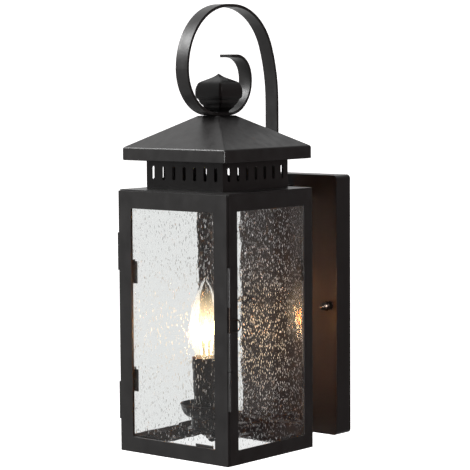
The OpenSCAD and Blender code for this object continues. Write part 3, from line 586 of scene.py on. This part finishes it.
class LANTERN_OT_finial(bpy.types.Operator):
    """Square finial: foot, flare, undercut, band and ogee cap"""

    bl_idname = "lantern.finial"
    bl_label = "Finial"

    def execute(self, context):
        corner = context.scene.lantern_sizes.finial_corner
        low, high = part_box("finial")
        width = (high.x - low.x) * 1.03
        bpy.ops.object.select_all(action="DESELECT")
        bpy.ops.mesh.primitive_plane_add(size=width, location=(0, 0, 0))
        piece = bpy.context.object
        piece.name = "finial_piece"
        bpy.ops.object.mode_set(mode="EDIT")
        bpy.ops.mesh.select_all(action="SELECT")
        bpy.ops.mesh.bevel(offset=corner, segments=5, affect="VERTICES")
        bpy.ops.mesh.delete(type="ONLY_FACE")
        bpy.ops.object.mode_set(mode="OBJECT")
        raise_rings(piece, self.rings(high.z - low.z))
        place(piece, ((low.x + high.x) / 2, (low.y + high.y) / 2, low.z))
        # The finial's coat is the lantern's coat painted darker: a painted shade for the dark
        # look that its gloss gives it under the lights.
        colour = scaled(context.scene.lantern_colours.coat, 0.6)
        finish_piece(piece, powder_coat("shaded_finial_coat", colour, 0.4), ["finial"], smooth=55)
        return {"FINISHED"}

    def rings(self, height):
        """(share of the width, height) up the finial, starting on the full outline."""
        foot = [(0.001, 0), (0.42, 0), (0.42, 0.03), (0.50, 0.07), (0.60, 0.115), (0.66, 0.145)]
        flare = [(0.66, 0.17), (0.74, 0.21), (0.80, 0.25), (0.84, 0.285), (0.84, 0.315)]
        flare += [(0.88, 0.335), (0.95, 0.375)]
        band = [(0.985, 0.415), (1.0, 0.45), (1.0, 0.56), (0.985, 0.615)]
        cap = [(0.95, 0.674), (0.915, 0.715), (0.875, 0.756), (0.78, 0.79), (0.66, 0.818)]
        cap += [(0.50, 0.853), (0.40, 0.875), (0.30, 0.897)]
        tip = [(0.20, 0.925), (0.12, 0.952), (0.05, 0.982), (0.001, 1.0)]
        shape = foot + flare + band + cap + tip
        return [(1.0, 0)] + [(share, height * up) for share, up in shape]


class LANTERN_OT_windows(bpy.types.Operator):
    """Four panes of seeded glass with slow ripples in both faces"""

    bl_idname = "lantern.windows"
    bl_label = "Windows"

    def execute(self, context):
        sizes = context.scene.lantern_sizes
        colours = context.scene.lantern_colours
        low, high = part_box("bulb_glass")
        lamp_at = Vector((*((low + high) / 2).xy, low.z + (high.z - low.z) * BULB_MIDDLE))
        look = (tuple(colours.glass), sizes.seed_pitch, lamp_at, tuple(colours.glow))
        front = seeded_glass("seeded_front_glass", *look, FRONT_GLINT)
        side = seeded_glass("seeded_side_glass", *look, SIDE_GLINT)
        ripples = bpy.data.textures.new("glass_ripples", "CLOUDS")
        ripples.noise_scale = sizes.ripple_length
        ripples.noise_depth = 1
        for node, glass in (
            ("glass_left", side), ("glass_right", side), ("glass_back", front),
            ("door_glass", front),
        ):
            piece = self.pane(node, sizes, ripples)
            finish_piece(piece, glass, [node], smooth=60)
            piece.visible_shadow = False
        return {"FINISHED"}

    def pane(self, node, sizes, ripples):
        """A slab with ground edges, its two faces cut into a grid and rippled."""
        middle, span = size_of(node)
        thin = min(range(3), key=lambda axis: span[axis])
        shrink = Vector((1, 1, 1))
        shrink[thin] = (span[thin] - sizes.ripple_height) / span[thin]
        bpy.ops.object.select_all(action="DESELECT")
        bpy.ops.mesh.primitive_cube_add(size=1, location=middle)
        piece = bpy.context.object
        piece.name = f"{node}_piece"
        piece.scale = [span[i] * shrink[i] for i in range(3)]
        bpy.ops.object.transform_apply(location=True, rotation=True, scale=True)
        apply_modifier(piece, "BEVEL", width=0.3 * MM, segments=1, limit_method="ANGLE")
        bpy.ops.object.mode_set(mode="EDIT")
        slab = bmesh.from_edit_mesh(piece.data)
        for face in slab.faces:
            face.select = abs(face.normal[thin]) > 0.9
        bmesh.update_edit_mesh(piece.data)
        bpy.ops.mesh.subdivide(number_cuts=63)
        bpy.ops.object.mode_set(mode="OBJECT")
        grid = piece.vertex_groups.new(name="faces")
        half = span[thin] * shrink[thin] / 2
        inner = [
            v.index for v in piece.data.vertices
            if abs(abs(v.co[thin] - middle[thin]) - half) < 0.01 * MM
        ]
        grid.add(inner, 1.0, "REPLACE")
        apply_modifier(
            piece, "DISPLACE", texture=ripples, strength=sizes.ripple_height,
            texture_coords="LOCAL", vertex_group="faces", mid_level=0.5,
        )
        return piece


class LANTERN_OT_candle(bpy.types.Operator):
    """Cup, drip pan and sleeve of the candle, and the supply tube"""

    bl_idname = "lantern.candle"
    bl_label = "Candle"

    def execute(self, context):
        coat = coat_of(context)
        self.cup(coat)
        self.drip_pan(coat)
        self.sleeve()
        self.supply_tube(coat)
        return {"FINISHED"}

    def cup(self, coat):
        low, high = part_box("lamp_cup")
        radius, height, wall, round_r = (high.x - low.x) / 2, high.z - low.z, 1.2 * MM, 1.5 * MM
        bore = size_of("nipple")[1].x / 2
        profile = [(radius - wall, 0), (radius - 0.3 * MM, 0), (radius, 0.3 * MM)]
        profile += curve_points((radius - round_r, height - round_r), round_r, 0, 90, 5)
        profile += [(bore, height), (bore, height - wall), (radius - wall, height - wall)]
        profile += [(radius - wall, 0)]
        self.stand(turned("lamp_cup_piece", profile), low, high, coat, "lamp_cup")

    def drip_pan(self, coat):
        """A floor and a wall that curves out to a rolled rim."""
        low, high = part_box("drip_pan")
        rim, height, sheet = (high.x - low.x) / 2, high.z - low.z, 1.1 * MM
        foot = size_of("lamp_cup")[1].x / 2
        bore = size_of("nipple")[1].x / 2
        roll = 0.8 * MM
        outer = [
            (foot + (rim - roll - foot) * math.sin(a), (height - roll) * (1 - math.cos(a)))
            for a in (math.radians(9 * i) for i in range(11))
        ]
        inner = [(r - sheet * (0.35 + 0.065 * i), h + sheet * (1 - i / 10))
                 for i, (r, h) in reversed(list(enumerate(outer)))]
        profile = [(bore, 0)] + outer
        profile += curve_points((rim - roll, height - roll), roll, 0, 180, 6)
        profile += inner[1:] + [(bore, sheet), (bore, 0)]
        self.stand(turned("drip_pan_piece", profile), low, high, coat, "drip_pan")

    def sleeve(self):
        low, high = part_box("candle_sleeve")
        top_r, height, wall = (high.x - low.x) / 2, high.z - low.z, 1.0 * MM
        foot_r = top_r * SLEEVE_TAPER
        lip = 0.3 * MM
        profile = [(foot_r - wall, 0), (foot_r, 0)]
        profile += [(foot_r + (top_r - foot_r) * t / 8, (height - lip) * t / 8)
                    for t in range(1, 9)]
        profile += [(top_r - lip, height), (top_r - wall + lip, height)]
        profile += [(top_r - wall, height - lip), (foot_r - wall, 0)]
        card = moulded("satin_candle_sleeve", (0.016, 0.015, 0.014), 0.5)
        self.stand(turned("candle_sleeve_piece", profile), low, high, card, "candle_sleeve")

    def supply_tube(self, coat):
        low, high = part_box("supply_tube")
        radius, length, wall, lip = (high.x - low.x) / 2, high.y - low.y, 1.0 * MM, 0.25 * MM
        profile = [(radius - wall, 0), (radius - lip, 0), (radius, lip), (radius, length - lip)]
        profile += [(radius - lip, length), (radius - wall, length), (radius - wall, 0)]
        piece = turned("supply_tube_piece", profile, 48)
        middle = (low + high) / 2
        place(piece, (middle.x, high.y, middle.z), (math.radians(90), 0, 0))
        finish_piece(piece, coat, ["supply_tube"])

    def stand(self, piece, low, high, material, node):
        middle = (low + high) / 2
        place(piece, (middle.x, middle.y, low.z))
        finish_piece(piece, material, [node])


class LANTERN_OT_bulb(bpy.types.Operator):
    """Clear candle bulb with four lit filaments round a glass stem"""

    bl_idname = "lantern.bulb"
    bl_label = "Bulb"

    def execute(self, context):
        light = tuple(context.scene.lantern_colours.lamp_light)
        low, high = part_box("bulb_glass")
        middle = (low + high) / 2
        glow = tuple(context.scene.lantern_colours.glow)
        clear = bulb_glass("blown_bulb_glass", glow, low.z, high.z)
        glass = turned("bulb_glass_piece", self.envelope(low, high), 72)
        place(glass, (middle.x, middle.y, low.z))
        finish_piece(glass, clear, ["bulb_glass"], smooth=80)
        glass.visible_shadow = False
        self.stem(clear)
        self.filaments(lit_filament("lit_filament", glow))
        self.lamp(middle, low, light)
        return {"FINISHED"}

    def envelope(self, low, high):
        """A neck, a round shoulder and a long taper to a soft tip, out and back."""
        height, belly_r = high.z - low.z, (high.x - low.x) / 2
        neck_r, belly, wall, steps = 5.3 * MM, 0.40, 0.7 * MM, 30

        def radius(t):
            if t < belly:
                return neck_r + (belly_r - neck_r) * math.sin(math.pi / 2 * t / belly) ** 1.35
            return belly_r * (1 - ((t - belly) / (1 - belly)) ** 1.9) ** 0.86

        outer = [(radius(i / steps), height * i / steps) for i in range(steps)]
        inner = [(max(r - wall, 0.2 * MM), h * (1 - wall / height)) for r, h in outer]
        tip = [(1.1 * MM, height * 0.996), (0, height)]
        inside_tip = [(0, height - wall), (1.0 * MM, height * 0.996 - wall)]
        return outer + tip + inside_tip + inner[::-1] + [outer[0]]

    def stem(self, clear):
        low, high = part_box("bulb_stem")
        height = high.z - low.z
        profile = [(0, 0), (4.0 * MM, 0), (3.6 * MM, height * 0.45), (2.4 * MM, height * 0.6)]
        profile += [(1.5 * MM, height * 0.75), (1.2 * MM, height * 0.96), (0, height)]
        piece = turned("bulb_stem_piece", profile, 32)
        place(piece, ((low.x + high.x) / 2, (low.y + high.y) / 2, low.z))
        finish_piece(piece, clear, ["bulb_stem"])
        piece.visible_shadow = False

    def filaments(self, material):
        """Thin rods with rounded ends that lean in towards the stem's foot."""
        low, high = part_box("bulb_filaments")
        middle = (low + high) / 2
        length, radius = high.z - low.z, 0.75 * MM
        profile = curve_points((0, radius), radius, -90, 0, 4)
        profile += curve_points((0, length - radius), radius, 0, 90, 4)
        rods = []
        for quarter in range(4):
            around = math.radians(45 + 90 * quarter)
            rod = turned("filament", profile, 12)
            lean = Matrix.Rotation(math.radians(6), 3, (-math.sin(around), math.cos(around), 0))
            foot = Vector((4.6 * MM * math.cos(around), 4.6 * MM * math.sin(around), 0))
            place(rod, (middle.x + foot.x, middle.y + foot.y, low.z), lean.to_euler())
            rods.append(rod)
        activate(rods[0])
        for rod in rods[1:]:
            rod.select_set(True)
        bpy.ops.object.join()
        rods[0].name = "bulb_filaments_piece"
        finish_piece(rods[0], material, ["bulb_filaments"])
        rods[0].visible_shadow = rods[0].visible_diffuse = False

    def lamp(self, middle, low, light):
        """The light that the bulb gives."""
        data = bpy.data.lights.new("bulb_light", "POINT")
        data.energy = LAMP_POWER
        data.color = light
        data.shadow_soft_size = LAMP_R
        bulb = bpy.data.objects.new("bulb_light", data)
        bulb.location = (middle.x, middle.y, low.z + LAMP_UP)
        bulb.visible_glossy = False
        bpy.context.scene.collection.objects.link(bulb)


class LANTERN_OT_fittings(bpy.types.Operator):
    """Screws, nuts, bar, leads and lampholder"""

    bl_idname = "lantern.fittings"
    bl_label = "Fittings"

    def execute(self, context):
        colours = context.scene.lantern_colours
        edge = context.scene.lantern_sizes.sheet_edge
        zinc = metal("plated_zinc", tuple(colours.zinc), 0.36, 1.5 * MM)
        brass = metal("turned_brass", tuple(colours.brass), 0.28, 1.2 * MM)
        dark = metal("blackened_wire", tuple(colours.wire), 0.42, 2 * MM)
        green = moulded("green_pvc", (0.04, 0.26, 0.09), 0.45)
        for node, material in (
            ("mounting_bar", zinc), ("gallery_screws", zinc), ("arm_screws", zinc),
            ("finial_nut", zinc), ("tube_nuts", dark), ("nipple_nuts", dark),
            ("ground_screw", metal("green_screw", (0.08, 0.34, 0.14), 0.4, 1.5 * MM)),
        ):
            softened_nodes({node: HARDWARE[node]}, material, edge)
        finishes = {
            "mounting_studs": zinc, "finial_rod": zinc, "hinge_pins": zinc, "bulb_contact": zinc,
            "latch_bolt": dark, "nipple": dark,
            "lampholder_shell": brass, "lampholder_contact": brass,
            "bulb_cap": metal("nickel_cap", (0.70, 0.69, 0.66), 0.22, 1.0 * MM),
            "lampholder": moulded("black_phenolic", (0.030, 0.028, 0.027), 0.35),
            "bulb_insulator": moulded("black_insulator", (0.05, 0.06, 0.08), 0.15),
            "live_lead": moulded("black_pvc", (0.02, 0.02, 0.02), 0.45),
            "neutral_lead": moulded("white_pvc", (0.75, 0.74, 0.71), 0.45),
            "ground_lead": green,
            "wire_connectors": moulded("orange_connector", (0.80, 0.28, 0.05), 0.4),
        }
        for node, material in finishes.items():
            for slot in frame["nodes"][node].material_slots:
                slot.material = material
        return {"FINISHED"}


# ---- Studio ----

# Where the camera stands: its place, how far it is turned, how far it looks down, its roll.
CAMERA_PLACE = (1.27313, -1.60867, 0.24417)
CAMERA_TURN, CAMERA_DOWN, CAMERA_ROLL = 40.28, 4.91, -0.39
CAMERA_LENS, CAMERA_SENSOR = 151.8, 36.0
FLOOR_Z = -0.62
# Each soft light's place, its width and height, and its power.
SOFTBOXES = {
    "key_light": ((-1.4, -1.8, 2.1), 1.3, 1.3, 125),
    "fill_light": ((2.4, 0.3, 1.2), 1.2, 1.2, 6),
    "top_light": ((-0.2, 0.5, 2.2), 1.4, 1.4, 3),
    "corner_light": ((1.9, -2.1, 0.6), 0.5, 1.6, 140),
}
LIGHTS_AIM = (0, -0.1, 0.08)
# The surroundings: towards where they are bright, how strong they are from the far side to
# that one, and the warm tint of the dark side.
BRIGHT_SIDE = (-0.85, 0.50, 0.05)
DARK_STRENGTH, BRIGHT_STRENGTH = 0.11, 0.95
DARK_TINT = (1, 0.72, 0.70, 1)
# The two hard lights, and the pieces that they leave out.
HARD_LIGHTS = ("key_light", "corner_light")
SHADED = (
    "backplate", "cage_back", "gallery_front", "gallery_left", "gallery_right", "finial",
    "glass_left", "glass_right", "glass_back", "door_glass",
    "lamp_cup", "drip_pan", "candle_sleeve", "supply_tube", "lamp_bracket", "lamp_disc",
)


class LANTERN_OT_stage(bpy.types.Operator):
    """Pale floor that sweeps up behind, soft lights and the camera"""

    bl_idname = "lantern.stage"
    bl_label = "Stage"

    def execute(self, context):
        context.scene.view_settings.view_transform = "Standard"
        self.floor(tuple(context.scene.lantern_colours.floor))
        self.world()
        for name, box in SOFTBOXES.items():
            self.softbox(name, *box)
        bpy.data.objects["corner_light"].visible_diffuse = False
        self.camera()
        return {"FINISHED"}

    def floor(self, colour):
        """One sheet: flat under the lantern, then curved up into a wall."""
        near, bend, radius, high, half = -4.2, 2.4, 1.1, 3.4, 4.5
        bpy.ops.object.select_all(action="DESELECT")
        bpy.ops.mesh.primitive_plane_add(size=1, location=(0, 0, FLOOR_Z))
        sheet = bpy.context.object
        sheet.name = "studio_floor"
        sheet.scale = (2 * half, bend - near, 1)
        sheet.location = (0, (bend + near) / 2, FLOOR_Z)
        bpy.ops.object.transform_apply(location=True, rotation=True, scale=True)
        bpy.ops.object.mode_set(mode="EDIT")
        mesh = bmesh.from_edit_mesh(sheet.data)
        mesh.select_mode = {"EDGE"}
        for part in list(mesh.faces) + list(mesh.edges) + list(mesh.verts):
            part.select = False
        for edge in mesh.edges:
            edge.select = all(v.co.y > bend - 0.01 for v in edge.verts)
        mesh.select_flush_mode()
        bmesh.update_edit_mesh(sheet.data)
        steps = 16
        angles = [math.pi / 2 * i / steps for i in range(steps + 1)]
        for a, b in zip(angles, angles[1:]):
            move = (0, radius * (math.sin(b) - math.sin(a)), radius * (math.cos(a) - math.cos(b)))
            bpy.ops.mesh.extrude_region_move(TRANSFORM_OT_translate={"value": move})
        bpy.ops.mesh.extrude_region_move(TRANSFORM_OT_translate={"value": (0, 0, high - radius)})
        bpy.ops.object.mode_set(mode="OBJECT")
        bpy.ops.object.shade_smooth()
        paper = Finish("studio_paper", Roughness=0.9, Emission_Strength=1.0)
        tone = paper.span(paper.noise(0.6, 2), 0, 1)
        paper.drive("Base Color", paper.blend(tone, scaled(colour, 0.99), scaled(colour, 1.01)))
        paper.set(Emission_Color=(1, 1, 1, 1))
        sheet.data.materials.append(paper.material)
        sheet.visible_diffuse = sheet.visible_glossy = sheet.visible_transmission = False

    def world(self):
        """Soft light all round: bright behind on the left, dark and warm on the right."""
        world = bpy.data.worlds.new("studio")
        bpy.context.scene.world = world
        world.use_nodes = True
        nodes, links = world.node_tree.nodes, world.node_tree.links
        ground = nodes["Background"]
        coords = nodes.new("ShaderNodeTexCoord")
        facing = nodes.new("ShaderNodeVectorMath")
        facing.operation = "DOT_PRODUCT"
        facing.inputs[1].default_value = BRIGHT_SIDE
        links.new(coords.outputs["Generated"], facing.inputs[0])
        depth = nodes.new("ShaderNodeMapRange")
        for name, value in (
            ("From Min", -0.1), ("From Max", 0.9),
            ("To Min", DARK_STRENGTH), ("To Max", BRIGHT_STRENGTH),
        ):
            depth.inputs[name].default_value = value
        links.new(facing.outputs["Value"], depth.inputs["Value"])
        links.new(depth.outputs["Result"], ground.inputs["Strength"])
        tone = nodes.new("ShaderNodeMix")
        tone.data_type = "RGBA"
        tone.inputs[6].default_value = DARK_TINT
        tone.inputs[7].default_value = (1, 1, 1, 1)
        warm = nodes.new("ShaderNodeMapRange")
        warm.inputs["From Min"].default_value = 0.12
        warm.inputs["From Max"].default_value = 0.28
        links.new(depth.outputs["Result"], warm.inputs["Value"])
        links.new(warm.outputs["Result"], tone.inputs["Factor"])
        links.new(tone.outputs[2], ground.inputs["Color"])

    def softbox(self, name, where, width, height, power):
        data = bpy.data.lights.new(name, "AREA")
        data.shape = "RECTANGLE"
        data.size, data.size_y = width, height
        data.energy = power
        lamp = bpy.data.objects.new(name, data)
        lamp.location = where
        aim = Vector(LIGHTS_AIM) - Vector(where)
        lamp.rotation_euler = aim.to_track_quat("-Z", "Y").to_euler()
        bpy.context.scene.collection.objects.link(lamp)

    def camera(self):
        turn, down, roll = (math.radians(a) for a in (CAMERA_TURN, CAMERA_DOWN, CAMERA_ROLL))
        back = Vector((
            math.sin(turn) * math.cos(down), -math.cos(turn) * math.cos(down), math.sin(down)
        ))
        right = Vector((math.cos(turn), math.sin(turn), 0))
        up = back.cross(right)
        across = math.cos(roll) * right + math.sin(roll) * up
        upward = math.cos(roll) * up - math.sin(roll) * right
        data = bpy.data.cameras.new("camera")
        data.lens, data.sensor_width = CAMERA_LENS, CAMERA_SENSOR
        data.clip_start, data.clip_end = 0.05, 50
        camera = bpy.data.objects.new("camera", data)
        camera.matrix_world = Matrix.Translation(CAMERA_PLACE) @ Matrix(
            (across, upward, back)
        ).transposed().to_4x4()
        bpy.context.scene.collection.objects.link(camera)
        bpy.context.scene.camera = camera


class LANTERN_OT_flag_lights(bpy.types.Operator):
    """Keeps the two hard lights off the wall side, the panes and what stands behind them"""

    bl_idname = "lantern.flag_lights"
    bl_label = "Flag Lights"

    def execute(self, context):
        shaded = bpy.data.collections.new("out_of_hard_light")
        for name in SHADED:
            shaded.objects.link(bpy.data.objects[f"{name}_piece"])
        for member in shaded.collection_objects:
            member.light_linking.link_state = "EXCLUDE"
        for lamp in HARD_LIGHTS:
            bpy.data.objects[lamp].light_linking.receiver_collection = shaded
        return {"FINISHED"}


OPERATORS = (
    LANTERN_OT_stage,
    LANTERN_OT_sheet_steel,
    LANTERN_OT_ironwork,
    LANTERN_OT_roof,
    LANTERN_OT_backplate,
    LANTERN_OT_finial,
    LANTERN_OT_windows,
    LANTERN_OT_candle,
    LANTERN_OT_bulb,
    LANTERN_OT_fittings,
    LANTERN_OT_flag_lights,
)


class LANTERN_PT_panel(bpy.types.Panel):
    """The lantern's sizes, colours and pieces"""

    bl_idname = "LANTERN_PT_panel"
    bl_label = "Wall Lantern"
    bl_space_type = "VIEW_3D"
    bl_region_type = "UI"
    bl_category = "Lantern"

    def draw(self, context):
        for group in (context.scene.lantern_sizes, context.scene.lantern_colours):
            box = self.layout.box()
            for name in group.bl_rna.properties.keys():
                if name not in ("rna_type", "name"):
                    box.prop(group, name)
        for operator in OPERATORS:
            self.layout.operator(operator.bl_idname)


CLASSES = (LanternSizes, LanternColours, *OPERATORS, LANTERN_PT_panel)


def register():
    for item in CLASSES:
        bpy.utils.register_class(item)
    bpy.types.Scene.lantern_sizes = bpy.props.PointerProperty(type=LanternSizes)
    bpy.types.Scene.lantern_colours = bpy.props.PointerProperty(type=LanternColours)


def unregister():
    del bpy.types.Scene.lantern_colours
    del bpy.types.Scene.lantern_sizes
    for item in reversed(CLASSES):
        bpy.utils.unregister_class(item)


def main():
    """Builds everything in order."""
    register()
    for operator in OPERATORS:
        group, name = operator.bl_idname.split(".")
        getattr(getattr(bpy.ops, group), name)()


if __name__ == "__main__":
    main()
